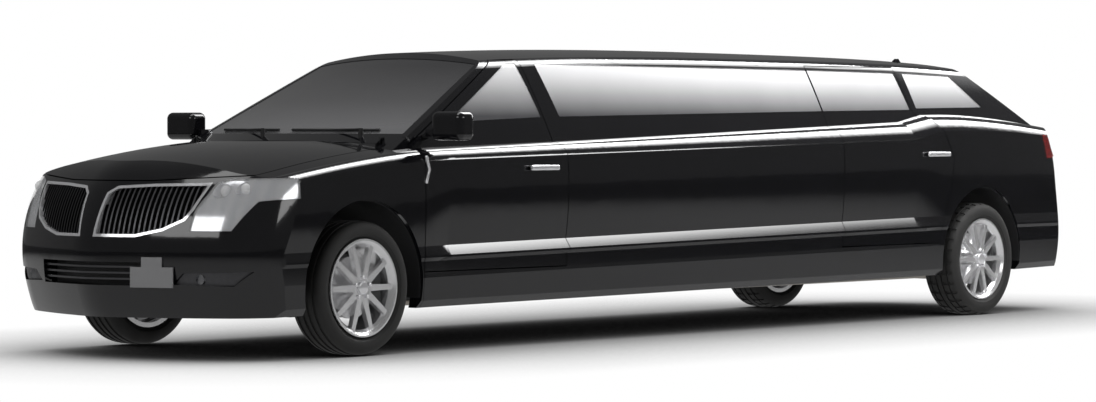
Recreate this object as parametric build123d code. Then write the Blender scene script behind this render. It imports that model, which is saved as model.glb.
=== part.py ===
from functools import lru_cache
import math
import os

from build123d import *

# Stretch limousine on a crossover body. Millimetres, +Z up, front towards -Y, the car's left at +X.
# Stations along Y are measured from the middle of the body; FRAME_SHIFT then puts the origin on the
# ground under the middle of the overall length.

# ---- driving dimensions ----
NOSE_Y = -4290.0            # foremost point of the prow
TAIL_Y = 4160.0             # rearmost point of the rear bumper
FRAME_SHIFT = -(NOSE_Y + TAIL_Y) / 2
FRONT_AXLE_Y = -3120.0
REAR_AXLE_Y = 2923.0
HALF_WIDTH = 955.0          # flat of the body side
WHEEL_Z = 370.0
TYRE_R = 370.0
TYRE_WIDTH = 250.0
WHEEL_X = 826.0             # middle of the tyre
RIM_R = 266.0
ARCH_R = 470.0
ARCH_Z = 376.0
SHUT_GAP = 6.0              # gap round doors, hood and liftgate
WALL_INNER_X = 850.0        # inner face of the doors and sides below the belt
PILLAR_T = 45.0             # thickness of roof and pillars above the belt
SCREEN_PILLAR_T = 80.0      # depth of the windshield and backlight frames
GLASS_IN = 3.0              # glass set in from the outer skin
GLASS_T = 5.0
FLOOR_TOP = 370.0
FLOOR_T = 40.0
FIREWALL_Y = -2500.0
FIREWALL_T = 30.0
FENDER_END_Y = -2640.0
CABIN_END_Y = 3830.0        # rear end of the cabin above the belt
TUMBLE = 0.466              # inward lean of the side glass, x per z
GUTTER_X = 620.0
GUTTER_Z = 1665.0
ROOF_TOP = 1713.0
SKIN_T = 45.0               # fender and bumper thickness

# doors: fixed pillars between them
DOOR_FRONT_Y = -2637.0
B_PILLAR_Y = -1405.0
REAR_DOOR_Y = 1330.0
REAR_DOOR_END_Y = 2372.0
DOOR_TOP_Z = 1624.0
HINGE_X = 968.0
DOOR_INNER_X = 580.0        # the doors reach no further in than this
DOOR_TAPER = 0.17           # how far the shut face leans forward, per mm inward
KINGPIN_X = 780.0
DISC_R = 168.0


def face_of(edges):
    return Face(Wire(edges))


def prism_side(points, x0, x1):
    """Solid from a closed outline of (y, z) points, between two X planes."""
    pts = [(x0, y, z) for y, z in points]
    f = Face(Wire.make_polygon([Vector(*p) for p in pts], close=True))
    return Solid.extrude(f, Vector(x1 - x0, 0, 0))


def prism_front(points, y0, y1):
    """Solid from a closed outline of (x, z) points, between two Y planes."""
    f = Face(Wire.make_polygon([Vector(x, y0, z) for x, z in points], close=True))
    return Solid.extrude(f, Vector(0, y1 - y0, 0))


def prism_plan(points, z0, z1):
    """Solid from a closed outline of (x, y) points, between two Z planes."""
    f = Face(Wire.make_polygon([Vector(x, y, z0) for x, y in points], close=True))
    return Solid.extrude(f, Vector(0, 0, z1 - z0))


def block(x0, x1, y0, y1, z0, z1):
    return Solid.make_box(x1 - x0, y1 - y0, z1 - z0).moved(Pos(x0, y0, z0))


def rod(p, q, r):
    """Round bar from p to q."""
    d = Vector(*q) - Vector(*p)
    return Solid.make_cylinder(r, d.length, Plane(origin=Vector(*p), z_dir=d))


def pipe_x(y, z, r, x0, x1):
    return Solid.make_cylinder(r, x1 - x0, Plane(origin=(x0, y, z), x_dir=(0, 1, 0), z_dir=(1, 0, 0)))


def ring_x(y, z, r_out, r_in, x0, x1):
    return pipe_x(y, z, r_out, x0, x1) - pipe_x(y, z, r_in, x0 - 1, x1 + 1)


def mirrored(shape):
    return shape.mirror(Plane.YZ)


def grown(points, gap):
    """Closed outline moved outward by gap: every side is shifted and the corners are cut again."""
    area = sum(a[0] * b[1] - b[0] * a[1] for a, b in zip(points, points[1:] + points[:1]))
    turn = 1 if area > 0 else -1
    sides = []
    for a, b in zip(points, points[1:] + points[:1]):
        da, db = b[0] - a[0], b[1] - a[1]
        length = math.hypot(da, db)
        sides.append((a[0] + turn * db / length * gap, a[1] - turn * da / length * gap, da, db))
    corners = []
    for (px, py, pa, pb), (qx, qy, qa, qb) in zip(sides[-1:] + sides[:-1], sides):
        cross = pa * qb - pb * qa
        t = ((qx - px) * qb - (qy - py) * qa) / cross
        corners.append((px + t * pa, py + t * pb))
    return corners


# ---- outer form ----
def body_section(y, zb, zl, sw, z1, z2, zs1, zs2, zc, hw, xs2=None):
    """Cross-section of the lower body at station y."""
    xs2 = xs2 or GUTTER_X + (GUTTER_Z - zs2) * TUMBLE + 2
    side = [(hw - 50, zb), (hw - 18, zb + 40), (hw - 10, zl), (hw - 10 - 8 * sw, zl + 22),
            (hw - 10 - 8 * sw, z1 - 20), (hw - 4 + 12 * sw, z1), (hw - 4 + 12 * sw, z1 + 12),
            (hw - 6 - 16 * sw, z2)]
    right = [(x, y, z) for x, z in side]
    left = [(-x, y, z) for x, z in side]
    waist = (hw - 8, y, zs1)
    crest = (xs2, y, zs2)
    mid_z = (z2 + zs1) / 2
    dx, dz = hw - 8 - xs2, zs2 - zs1
    bulge = 0.14
    bx, bz = (hw - 8 + xs2) / 2 + dz * bulge, (zs1 + zs2) / 2 + dx * bulge
    flip = lambda p: (-p[0], p[1], p[2])
    arc = Edge.make_three_point_arc
    edges = [Edge.make_line(left[0], right[0])]
    edges += [Edge.make_line(a, b) for a, b in zip(right, right[1:])]
    edges += [arc(right[-1], (hw, y, mid_z + 60), waist), arc(waist, (bx, y, bz), crest),
              arc(crest, (0, y, zc), flip(crest)), arc(flip(crest), (-bx, y, bz), flip(waist)),
              arc(flip(waist), (-hw, y, mid_z + 60), left[-1])]
    edges += [Edge.make_line(a, b) for a, b in zip(left[::-1], left[::-1][1:])]
    return face_of(edges)


# station, bottom, ledge, swage depth, swage low, swage high, shoulder low, shoulder high, crown, half-width[, crest x]
FRONT_SECTIONS = [
    (-4400, 225, 395, 0, 500, 560, 830, 860, 960, 955, 860),
    (-3820, 232, 400, 0, 510, 570, 925, 962, 1095, 955, 875),
    (-3240, 240, 405, 0, 515, 577, 1000, 1050, 1165, 955, 875),
    (-2640, 245, 410, 0, 520, 583, 1050, 1110, 1190, 955)]
MIDDLE_SECTIONS = [
    (-2640, 245, 410, 0, 520, 583, 1050, 1110, 1190, 955),
    (-2440, 247, 413, 1, 522, 586, 1058, 1118, 1200, 955),
    (2130, 274, 465, 1, 585, 656, 1157, 1272, 1330, 955),
    (2420, 276, 470, 0, 590, 661, 1210, 1318, 1340, 955)]
REAR_SECTIONS = [
    (2420, 276, 470, 0, 590, 661, 1210, 1318, 1340, 955),
    (3000, 282, 475, 0, 590, 661, 1215, 1312, 1330, 952),
    (3600, 290, 480, 0, 590, 661, 1190, 1262, 1290, 935),
    (4400, 300, 480, 0, 590, 661, 1120, 1180, 1230, 880)]


def plan_outline(z, tip, nose_r, nose_angle, flank_r, corner_r, side, sense, back):
    """Plan view of one end at height z: a nose arc, two flank arcs and two corner arcs, all tangent."""
    a1 = math.radians(nose_angle)
    fx, fy = (nose_r - flank_r) * math.sin(a1), nose_r + (flank_r - nose_r) * math.cos(a1)
    a2 = math.asin((side - corner_r - fx) / (flank_r - corner_r))
    cx, cy = side - corner_r, fy - (flank_r - corner_r) * math.cos(a2)
    on = lambda x, y, r, a: (x + r * math.sin(a), y - r * math.cos(a))
    nose_end, flank_mid, flank_end = on(0, nose_r, nose_r, a1), on(fx, fy, flank_r, (a1 + a2) / 2), on(fx, fy, flank_r, a2)
    corner_mid = on(cx, cy, corner_r, (a2 + math.pi / 2) / 2)
    corner_end = (side, cy)
    put = lambda p, m=1: (m * p[0], tip - sense * p[1], z)
    arc = Edge.make_three_point_arc
    return face_of([
        arc(put(nose_end, -1), put((0, 0)), put(nose_end)),
        arc(put(nose_end), put(flank_mid), put(flank_end)),
        arc(put(flank_end), put(corner_mid), put(corner_end)),
        Edge.make_line(put(corner_end), (side, back, z)),
        Edge.make_line((side, back, z), (-side, back, z)),
        Edge.make_line((-side, back, z), put(corner_end, -1)),
        arc(put(corner_end, -1), put(corner_mid, -1), put(flank_end, -1)),
        arc(put(flank_end, -1), put(flank_mid, -1), put(nose_end, -1))])


# height, tip station
NOSE_PROFILE = [(150, -4120), (330, -4245), (480, NOSE_Y + 5), (640, NOSE_Y + 2), (800, -4245), (940, -4165), (1040, -4050),
                (1110, -3850), (1160, -3500)]
TAIL_PROFILE = [(150, 4040), (330, 4125), (460, 4156), (620, 4156), (760, 4135), (920, 4110), (1100, 4060),
                (1240, 3980), (1400, 3800)]


@lru_cache(maxsize=None)
def nose_form(d=0.0, back=-2000):
    """Everything behind the nose, d mm inside its outer skin."""
    side = HALF_WIDTH + 5 - d
    return loft([plan_outline(z, y + d, 420 - d, 14, 3500 - d, 460 - d, side, -1, back) for z, y in NOSE_PROFILE])


@lru_cache(maxsize=None)
def tail_form(d=0.0, back=2000):
    side = HALF_WIDTH + 5 - d
    return loft([plan_outline(z, y - d, 3000 - d, 6, 3200 - d, 380 - d, side, 1, back) for z, y in TAIL_PROFILE])


# station, gutter half-width, gutter height, crown height
ROOF_SECTIONS = [(-3000, 612, 1560, 1600), (-1800, 618, 1612, 1668), (-600, 620, 1650, 1706),
                 (600, 620, 1655, ROOF_TOP), (1800, 620, 1650, 1706), (2900, 612, 1630, 1686),
                 (4100, 590, 1560, 1600)]


def roof_section(y, xg, zg, zc, d, low=1040.0):
    x_low = xg + (zg - low) * TUMBLE
    bow = 14
    arc = Edge.make_three_point_arc
    mx, mz = (x_low + xg) / 2 - d + bow, (low + zg) / 2
    f = face_of([
        Edge.make_line((-(x_low - d), y, low), (x_low - d, y, low)),
        arc((x_low - d, y, low), (mx, y, mz), (xg - d, y, zg - d)),
        arc((xg - d, y, zg - d), (0, y, zc - d), (-(xg - d), y, zg - d)),
        arc((-(xg - d), y, zg - d), (-mx, y, mz), (-(x_low - d), y, low))])
    return f.fillet_2d(95 - d * 0.6, [v for v in f.vertices() if v.Z > zg - d - 60])


def slope_form(y0, z0, angle, sag, half, sense, d):
    """Everything behind a raked, bowed screen whose centre passes (0, y0, z0); d moves it inward."""
    r = (half ** 2 + sag ** 2) / (2 * sag)
    drop = 900.0
    rad = math.radians(angle)
    z = z0 - drop
    y = y0 - sense * drop / math.tan(rad) + sense * d / math.sin(rad)
    w = half * 1.6
    edge_y = y + sense * (r - math.sqrt(r * r - w * w))
    back = y0 + sense * 9000
    f = face_of([
        Edge.make_three_point_arc((-w, edge_y, z), (0, y, z), (w, edge_y, z)),
        Edge.make_line((w, edge_y, z), (w, back, z)),
        Edge.make_line((w, back, z), (-w, back, z)),
        Edge.make_line((-w, back, z), (-w, edge_y, z))])
    return Solid.extrude(f, Vector(0, sense * math.cos(rad), math.sin(rad)) * 4200)


def greenhouse(d, screen_d=None):
    """The upper body, d mm inside its outer skin, or screen_d behind the windshield and backlight."""
    g = loft([roof_section(*row, d) for row in ROOF_SECTIONS])
    e = d if screen_d is None else screen_d
    return g & slope_form(-2830, 1185, 24.5, 190, 780, 1, e) & slope_form(4040, 1200, 27.0, 130, 700, -1, e)


def upper_form():
    return greenhouse(0) & block(-1000, 1000, -2900, 3950, 1040, 1800)


def front_form():
    """Solid nose, hood and fenders, up to the front doors."""
    lower = loft([body_section(*r) for r in FRONT_SECTIONS]) & nose_form()
    return lower + (upper_form() & block(-1000, 1000, -2900, FENDER_END_Y, 1040, 1400))


def rear_form():
    """Solid cabin and tail, from the front doors back."""
    middle = loft([body_section(*r) for r in MIDDLE_SECTIONS], ruled=True)
    rear = loft([body_section(*r) for r in REAR_SECTIONS]) & tail_form()
    return middle + rear + (upper_form() & block(-1000, 1000, FENDER_END_Y, 4000, 1040, 1800))


# ---- side-view outlines of the doors, (y, z); the flag marks the points of the closing edge ----
FRONT_SILL_Z = 446.0        # bottom edge of the front doors
REAR_SILL_Z = 490.0
FRONT_DOOR = [((DOOR_FRONT_Y, FRONT_SILL_Z), 0), ((DOOR_FRONT_Y, 1137), 0), ((-1678, DOOR_TOP_Z), 0),
              ((B_PILLAR_Y, DOOR_TOP_Z), 1), ((B_PILLAR_Y, FRONT_SILL_Z), 1)]
REAR_DOOR = [((REAR_DOOR_Y, REAR_SILL_Z), 0), ((REAR_DOOR_Y, DOOR_TOP_Z), 0), ((REAR_DOOR_END_Y, DOOR_TOP_Z), 1),
             ((REAR_DOOR_END_Y, 1345), 1), ((2565, 1040), 1), ((2530, 842), 1), ((2398, REAR_SILL_Z), 1)]
# glass outlines on the side, (y, z)
FRONT_DOOR_GLASS = [(-2262, 1266), (-1590, 1604), (-1500, 1606), (-1452, 1296)]
STRETCH_GLASS = [(-1290, 1299), (-1335, 1607), (1324, 1600), (1324, 1340)]
REAR_DOOR_GLASS = [(1336, 1340), (1336, 1600), (2300, 1592), (2320, 1352)]
QUARTER_GLASS = [(2402, 1362), (2402, 1592), (2960, 1578), (3215, 1372)]
GLASS_LAP = 22.0            # the glass overlaps its frame by this much
SCREEN_PLAN = [(762, -2615), (600, -1815)]      # windshield edge in plan, half
COWL_HALF = 778.0           # half-width of the panel below the windshield
SCREEN_BASE_Y = -2792.0
SCREEN_TOP_Y = -1842.0
HOOD_SIDE = [(750, -2745), (800, -3700), (800, -4500)]
HOOD_REAR_Y = -2885.0
HOOD_FRONT_Z = 957.0
HOOD_T = 30.0
GATE_TOP_Y = 3000.0
GATE_SIDE = [(575, GATE_TOP_Y), (700, 3900), (700, 4500)]
GATE_BOTTOM_Z = 662.0
BACKLIGHT = [(505, 3085), (600, 3800)]          # backlight edge in plan, half
ROOF_HALF = 500.0
BUMPER_ZONE = [(-4500, 100), (-3500, 100), (-3500, 560), (-3640, 830), (-3640, 978), (-4500, 978)]
REAR_BUMPER_Y = 3440.0
REAR_BUMPER_Z = 656.0
LAMP = [(592, 692), (795, 692), (868, 846), (990, 866), (990, 972), (720, 966), (655, 945), (640, 890), (600, 805)]
GRILLE_WING = [(48, 657), (300, 657), (450, 690), (560, 745), (594, 800), (626, 900), (634, 944), (330, 938), (120, 926), (70, 890)]
RIM_W = 15
BAR_PITCH = (29, 9)         # grille bars: pitch, width
FOG_LAMPS = [(640, -4068, 437, 26)]     # x, front station, z, radius
INTAKE = [(-470, 400), (470, 400), (450, 525), (-450, 525)]
FOG_POCKET = [(500, 408), (560, 468), (880, 478), (800, 400)]
LAMP_BOWLS = [(690, -3920, 900, 40), (790, -3876, 912, 36)]   # x, depth station, z, radius
LOFTED_GROUPS = ("grille", "grille_mesh", "intake_mesh", "headlamps", "headlamp_lenses", "tail_lamps")
TAIL_LAMP_Z = (1032, 1188)
GATE_LAMP_Z = (1060, 1160)


def door_form(rows, gap=0.0, sense=1):
    """Door block between two side outlines; its closing edge leans forward towards the inside."""
    points = grown([p for p, _ in rows], gap) if gap else [p for p, _ in rows]
    wires = []
    for x in (HALF_WIDTH + 55, DOOR_INNER_X):
        lean = DOOR_TAPER * (x - HINGE_X)
        pts = [(x, y + (lean if closing else 0), z) for (y, z), (_, closing) in zip(points, rows)]
        wires.append(Wire.make_polygon([Vector(*p) for p in pts], close=True))
    solid = Solid.make_loft(wires, ruled=True)
    return solid if sense > 0 else mirrored(solid)


def plan_with_arc(corners, tip_y):
    """Plan outline mirrored about X = 0, closed across its first points by an arc through (0, tip_y)."""
    (x0, y0) = corners[0]
    right = corners
    edges = [Edge.make_three_point_arc((-x0, y0, 0), (0, tip_y, 0), (x0, y0, 0))]
    chain = [(x, y, 0) for x, y in right] + [(-x, y, 0) for x, y in reversed(right)]
    edges += [Edge.make_line(a, b) for a, b in zip(chain, chain[1:])]
    return face_of(edges)


def hood_form(gap=0.0):
    (xr, yr), (xm, ym), (xf, yf) = HOOD_SIDE
    plan = plan_with_arc([(xr + gap, yr + gap), (xm + gap, ym), (xf + gap, yf)], HOOD_REAR_Y + gap)
    solid = Solid.extrude(plan, Vector(0, 0, 1600))
    z = HOOD_FRONT_Z - gap
    w = HOOD_SIDE[1][0] + gap
    front = prism_front([(-w, z + 28), (-300, z), (300, z), (w, z + 28), (w, 1500), (-w, 1500)], -4600, -2500)
    return solid & front


def gate_form(gap=0.0):
    (xt, yt), (xm, ym), (xb, yb) = GATE_SIDE
    pts = [(xt + gap, yt - gap), (xm + gap, ym), (xb + gap, yb)]
    outline = pts + [(-x, y) for x, y in reversed(pts)]
    return prism_plan(outline, GATE_BOTTOM_Z - gap, 1900)


def screen_form(grow=0.0):
    (xb, yb), (xt, yt) = SCREEN_PLAN
    b0, b1 = (-(xb + grow), yb - grow, 0), (xb + grow, yb - grow, 0)
    t0, t1 = (-(xt + grow), yt + grow, 0), (xt + grow, yt + grow, 0)
    plan = face_of([Edge.make_three_point_arc(b0, (0, SCREEN_BASE_Y - grow, 0), b1), Edge.make_line(b1, t1),
                    Edge.make_three_point_arc(t1, (0, SCREEN_TOP_Y + grow, 0), t0), Edge.make_line(t0, b0)])
    return Solid.extrude(plan, Vector(0, 0, 800)).moved(Pos(0, 0, 1120))


def backlight_form(grow=0.0):
    (xt, yt), (xb, yb) = BACKLIGHT
    xt, yt, xb, yb = xt + grow, yt - grow, xb + grow, yb + grow
    plan = face_of([Edge.make_line((-xt, yt, 1000), (xt, yt, 1000)), Edge.make_line((xt, yt, 1000), (xb, yb, 1000)),
                    Edge.make_three_point_arc((xb, yb, 1000), (0, yb + 60, 1000), (-xb, yb, 1000)),
                    Edge.make_line((-xb, yb, 1000), (-xt, yt, 1000))])
    return Solid.extrude(plan, Vector(0, 0, 1000))


def wheel_well(axle_y, inner_x, sense, r=ARCH_R):
    s = pipe_x(axle_y, ARCH_Z, r, inner_x, 1050)
    return s if sense > 0 else mirrored(s)


# ---- body panels ----
def front_shell():
    """Nose and fenders with the engine bay, the footwell and the wheel wells taken out."""
    solid = front_form()
    bay = nose_form(SKIN_T) & solid.moved(Pos(0, 10, -HOOD_T)) & block(-905, 905, -4400, -2700, 100, 1300)
    foot = block(-WALL_INNER_X, WALL_INNER_X, -2701, -2600, 100, 1071)
    shell = solid - bay - foot
    for sense in (1, -1):
        shell = shell - wheel_well(FRONT_AXLE_Y, 480, sense)
    return solid, shell


def cabin_void():
    belt_x = GUTTER_X + (GUTTER_Z - 1130) * TUMBLE - 50
    room = [(-WALL_INNER_X, FLOOR_TOP), (WALL_INNER_X, FLOOR_TOP), (WALL_INNER_X, 1060), (belt_x, 1130),
            (-belt_x, 1130), (-WALL_INNER_X, 1060)]
    tail_in = tail_form(60, -2700)
    upper = greenhouse(PILLAR_T, SCREEN_PILLAR_T) & block(-1000, 1000, FIREWALL_Y, CABIN_END_Y, 1040, 1800)
    return (prism_front(room, FIREWALL_Y - 1, 4300) & tail_in) + upper


def cabin_shell():
    tail_in = tail_form(60, -2700)
    under = block(-820, 820, -2701, 4300, 100, FLOOR_TOP + 0.5) & tail_in
    foot = block(-WALL_INNER_X, WALL_INNER_X, -2701, FIREWALL_Y, 100, 1071)
    shell = rear_form() - cabin_void() - under - foot
    for sense in (1, -1):
        shell = shell - wheel_well(REAR_AXLE_Y, 560, sense)
    return shell


def glass_layers():
    back = greenhouse(GLASS_IN + GLASS_T)
    return greenhouse(GLASS_IN) - back, back


def glaze(panel, outline, g_back):
    """Rebate for a pane flush with the outer skin, and the hole behind it."""
    rebate = prism_side(outline, 400, 1000) - g_back
    hole = prism_side(grown(outline, -GLASS_LAP), 400, 1000)
    return panel - rebate - hole


def front_panels(nodes):
    solid, shell = front_shell()
    hood, hood_gap = hood_form(), hood_form(SHUT_GAP)
    nodes["hood"] = shell & hood
    shell = shell - hood_gap
    cowl_zone = block(-COWL_HALF, COWL_HALF, -2900, FENDER_END_Y, 1071, 1400)
    nodes["cowl"] = (shell & cowl_zone) - screen_form()
    lamp_cut = prism_front(LAMP, -4500, -3634)
    lamp_cut = lamp_cut + mirrored(lamp_cut)
    rest = (shell - cowl_zone) - lamp_cut
    zone = prism_side(BUMPER_ZONE, -1000, 1000)
    wing = prism_front(GRILLE_WING, -4500, -3900)
    intake = prism_front(INTAKE, -4500, -3900)
    pocket = prism_front(FOG_POCKET, -4500, -3900)
    bumper = rest & zone
    for cut in (wing, mirrored(wing), intake, pocket, mirrored(pocket)):
        bumper = bumper - cut
    nodes["front_bumper"] = bumper
    fender = (rest - zone) & block(700, 1000, -4500, FENDER_END_Y - 3, 0, 1400)
    nodes["front_fender_left"] = fender
    nodes["front_fender_right"] = mirrored(fender)
    return solid


def front_lamps(nodes, solid):
    nose = solid & block(0, 1000, -4500, -3600, 0, 1400)
    cut = prism_front(LAMP, -4500, -3634)
    lens = (nose & cut) - nose_form(8)
    nodes["headlamp_lenses"] = lens + mirrored(lens)
    cup = (nose_form(14) & cut & nose.moved(Pos(0, 0, -4))) - nose_form(70)
    for x, y, z, r in LAMP_BOWLS:
        cup = cup - Solid.make_cylinder(r, 300, Plane(origin=(x, y - 300, z), z_dir=(0, 1, 0)))
    nodes["headlamps"] = cup + mirrored(cup)


def grille(nodes):
    """Bright frame of each grille wing, and the dark bars behind it and in the lower intake."""
    wing = prism_front(GRILLE_WING, -4500, -3900)
    inner = prism_front(grown(GRILLE_WING, -RIM_W), -4500, -3900)
    near = block(0, 900, -4500, -3850, 380, 960)
    pitch, wide = BAR_PITCH
    bars = [block(70 + i * pitch, 70 + i * pitch + wide, -4500, -3900, 640, 960) for i in range(int(560 / pitch))]
    layer = (nose_form(14) & near) - nose_form(SKIN_T)
    net = (layer & inner) & (Part() + bars)
    slats = [block(0, 700, -4500, -3900, z, z + 10) for z in (430, 462, 494)]
    low = (layer & prism_front(INTAKE, -4500, -3900)) & (Part() + slats)
    bezel = layer & prism_front(FOG_POCKET, -4500, -3900)
    for x, y, z, r in FOG_LAMPS:
        bezel = bezel - Solid.make_cylinder(r + RUN_GAP, 300, Plane(origin=(x, y - 150, z), z_dir=(0, 1, 0)))
    rim = (nose_form() & (wing - inner)) - nose_form(70)
    nodes["grille"] = rim + mirrored(rim)
    nodes["grille_mesh"] = Part() + both(net)
    nodes["intake_mesh"] = Part() + both(low) + both(bezel)
    lamps = [Solid.make_cylinder(r, 70, Plane(origin=(x, y, z), z_dir=(0, 1, 0))) for x, y, z, r in FOG_LAMPS]
    nodes["fog_lamps"] = Part() + lamps + [mirrored(lamp) for lamp in lamps]


def cabin_panels(nodes):
    """Roof, sides, doors, liftgate and rear bumper, cut from one shell, with their glass."""
    shell = cabin_shell()
    glass, g_back = glass_layers()
    screen, back_screen = screen_form(), backlight_form()
    nodes["windshield"] = glass & screen
    nodes["liftgate_glass"] = glass & back_screen
    gate_zone = block(-1000, 1000, GATE_TOP_Y - 20, 4300, 600, 1800)
    rear = shell & gate_zone
    shell = shell - gate_zone
    bumper_zone = block(-1000, 1000, REAR_BUMPER_Y, 4300, 0, REAR_BUMPER_Z)
    rear_low = shell & bumper_zone
    shell = shell - bumper_zone
    cowl_zone = block(-COWL_HALF, COWL_HALF, FENDER_END_Y, FIREWALL_Y, 1071, 1250)
    nodes["cowl"] = nodes["cowl"] + ((shell & cowl_zone) - screen)
    roof_zone = block(-ROOF_HALF, ROOF_HALF, -2000, GATE_TOP_Y - SHUT_GAP, 1500, 1800)
    nodes["roof"] = (shell - screen) & roof_zone
    rear_panels(nodes, rear, rear_low, bumper_zone, back_screen)
    left = shell & block(200, 1000, -2641, 4300, 0, 1800)
    left = left - block(0, COWL_HALF, FENDER_END_Y - 1, FIREWALL_Y + 1, 1070, 1250)
    left = left - screen
    left = left - block(-1, ROOF_HALF, -2100, 3100, 1400, 1800)
    doors_and_side(nodes, left, glass, g_back)


def rear_panels(nodes, rear, rear_low, bumper_zone, back_screen):
    gate, gate_gap = gate_form(), gate_form(SHUT_GAP)
    half = GATE_SIDE[1][0]
    gate_lamp = block(-(half - 4), half - 4, 3600, 4300, *GATE_LAMP_Z)
    lamp = block(half + 12, 1000, 3600, 4300, *TAIL_LAMP_Z)
    lamps = lamp + mirrored(lamp)
    lens_in = tail_form(22)
    liftgate = (rear & gate) - back_screen
    nodes["gate_lamp"] = (liftgate & gate_lamp) - lens_in
    nodes["liftgate"] = liftgate - (gate_lamp - lens_in)
    rear = rear - gate_gap
    nodes["rear_bumper"] = rear_low + (rear & bumper_zone)
    rear = rear - bumper_zone
    nodes["tail_lamps"] = (rear & lamps) - lens_in
    rear = rear - (lamps - lens_in)
    nodes["quarter"] = rear & block(400, 1000, 2000, 4300, 0, 1800)


def doors_and_side(nodes, left, glass, g_back):
    side = left
    for name, rows, pane in (("front", FRONT_DOOR, FRONT_DOOR_GLASS), ("rear", REAR_DOOR, REAR_DOOR_GLASS)):
        door = glaze(left & door_form(rows), pane, g_back)
        side = side - door_form(rows, SHUT_GAP)
        pane_solid = glass & prism_side(pane, 400, 1000)
        nodes[f"door_{name}_left"] = door
        nodes[f"door_{name}_right"] = mirrored(door)
        nodes[f"door_glass_{name}_left"] = pane_solid
        nodes[f"door_glass_{name}_right"] = mirrored(pane_solid)
    side = side + nodes.pop("quarter")
    panes = []
    for pane in (STRETCH_GLASS, QUARTER_GLASS):
        side = glaze(side, pane, g_back)
        panes.append(glass & prism_side(pane, 400, 1000))
    nodes["body_side_left"] = side
    nodes["body_side_right"] = mirrored(side)
    fixed = Part() + panes
    nodes["fixed_side_glass"] = fixed + mirrored(fixed)


# ---- chassis ----
def fused(shapes):
    total = shapes[0]
    for shape in shapes[1:]:
        total = total + shape
    return total


def both(shape):
    return [shape, mirrored(shape)]


RAIL_IN, RAIL_OUT = 400.0, 470.0
REAR_FLOOR_Z = 480.0
REAR_FLOOR_Y = 2410.0
FLOOR_END_Y = 3960.0
HUB_FACE_X = 846.0          # where wheel and disc meet the hub
RUN_GAP = 0.3
ARM_Z_LOW, ARM_Z_HIGH = 224.0, 528.0
BALL_LOW, BALL_HIGH = 240.0, 523.0      # the knuckle stands between these two ball joints
RAIL_H = 70.0
CROSS_Y = (-2250.0, -1100.0, 100.0, 1300.0, 2100.0)
CROSS_W = 90.0
ENGINE_END_Y = -2960.0
GEARBOX_END_Y = -2600.0
RACK_Z = 288.0
SHAFT_Z = 240.0
SHAFT_R = 30.0
DIFF_NOSE = 190.0           # from the rear axle to the shaft's flange
PIPE_Z = 246.0              # exhaust
PIPE_R = 26.0


def underbody(nodes):
    """Floor, rails with their kick-up over the rear axle, firewall, towers, liners and engine."""
    z0 = FLOOR_TOP - FLOOR_T
    rear_y = REAR_FLOOR_Y + FLOOR_T
    floor = block(-820, 820, FIREWALL_Y, rear_y, z0, FLOOR_TOP)
    riser = block(-820, 820, REAR_FLOOR_Y, rear_y, FLOOR_TOP - 1, REAR_FLOOR_Z + FLOOR_T)
    back = block(-845, 845, REAR_FLOOR_Y, FLOOR_END_Y, REAR_FLOOR_Z, REAR_FLOOR_Z + FLOOR_T)
    pan = floor + riser + (back & tail_form(61, -2700))
    for sense in (1, -1):
        pan = pan - wheel_well(REAR_AXLE_Y, 554, sense, ARCH_R + 6)
    nodes["floor_pan"] = pan
    nodes["frame_rails"] = frame(z0, rear_y)
    nodes["front_structure"] = bay_structure(z0)
    nodes["wheelhouse_liners"] = Part() + liners()
    gearbox = block(-130, 130, ENGINE_END_Y - 5, GEARBOX_END_Y, 330, 520)
    sump = block(-130, 130, ENGINE_END_Y + 30, GEARBOX_END_Y, 250, 331)
    nodes["engine"] = block(-330, 330, -3800, ENGINE_END_Y, 330, 860) + gearbox + sump


def frame(z0, rear_y):
    """Two rails, stepped up at the firewall and over the rear axle, with their cross-members."""
    z1, zr = z0 - RAIL_H, REAR_FLOOR_Z
    front = [(-4030, z0 + 110), (-4030, z0 + 190), (-2510, z0 + 190), (-2510, z0), (-2370, z0),
             (-2370, z1), (-2560, z1), (-2690, z0 + 110)]
    middle = block(RAIL_IN, RAIL_OUT, -2375, 2370, z1, z0)
    rear = [(2365, z0), (rear_y + RUN_GAP, z0), (rear_y + RUN_GAP, zr), (FLOOR_END_Y - 40, zr),
            (FLOOR_END_Y - 40, zr - RAIL_H), (rear_y + 160, zr - RAIL_H), (rear_y + 40, z1), (2365, z1)]
    rail = fused([prism_side(front, RAIL_IN, RAIL_OUT), middle, prism_side(rear, RAIL_IN, RAIL_OUT)])
    parts = both(rail)
    for y in CROSS_Y:
        parts.append(block(-RAIL_IN - 5, RAIL_IN + 5, y, y + CROSS_W, z0 - 50, z0))
    parts.append(block(-RAIL_IN - 5, RAIL_IN + 5, 3780, 3860, zr - 60, zr))
    parts.append(block(-440, 440, -4080, -4028, 400, 520))
    return fused(parts)


def bay_structure(z0):
    """Firewall, damper towers, upper rails and the radiator support."""
    wall = block(-848, 848, FIREWALL_Y - FIREWALL_T, FIREWALL_Y, z0, 1069.7)
    slot = block(RAIL_IN - 2, RAIL_OUT + 2, FIREWALL_Y - 60, FIREWALL_Y + 20, z0 - 10, z0 + 192)
    core = block(-500, 500, -4013, -3985, 520.3, 900) - block(-450, 450, -4030, -3980, 560, 860)
    parts = [wall - slot - mirrored(slot), core]
    y0, y1 = FRONT_AXLE_Y - 110, FRONT_AXLE_Y + 110
    tower = block(RAIL_IN + 12, RAIL_IN + 30, y0, y1, 520.3, 872) + block(RAIL_IN + 12, 640, y0, y1, 858, 872)
    tower = tower + block(462, 500, -3990, y0 + 5, 858, 872)
    tower = tower + block(600, 640, y0, FIREWALL_Y - FIREWALL_T + 1, 871, 930)
    return fused(parts + both(tower))


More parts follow.
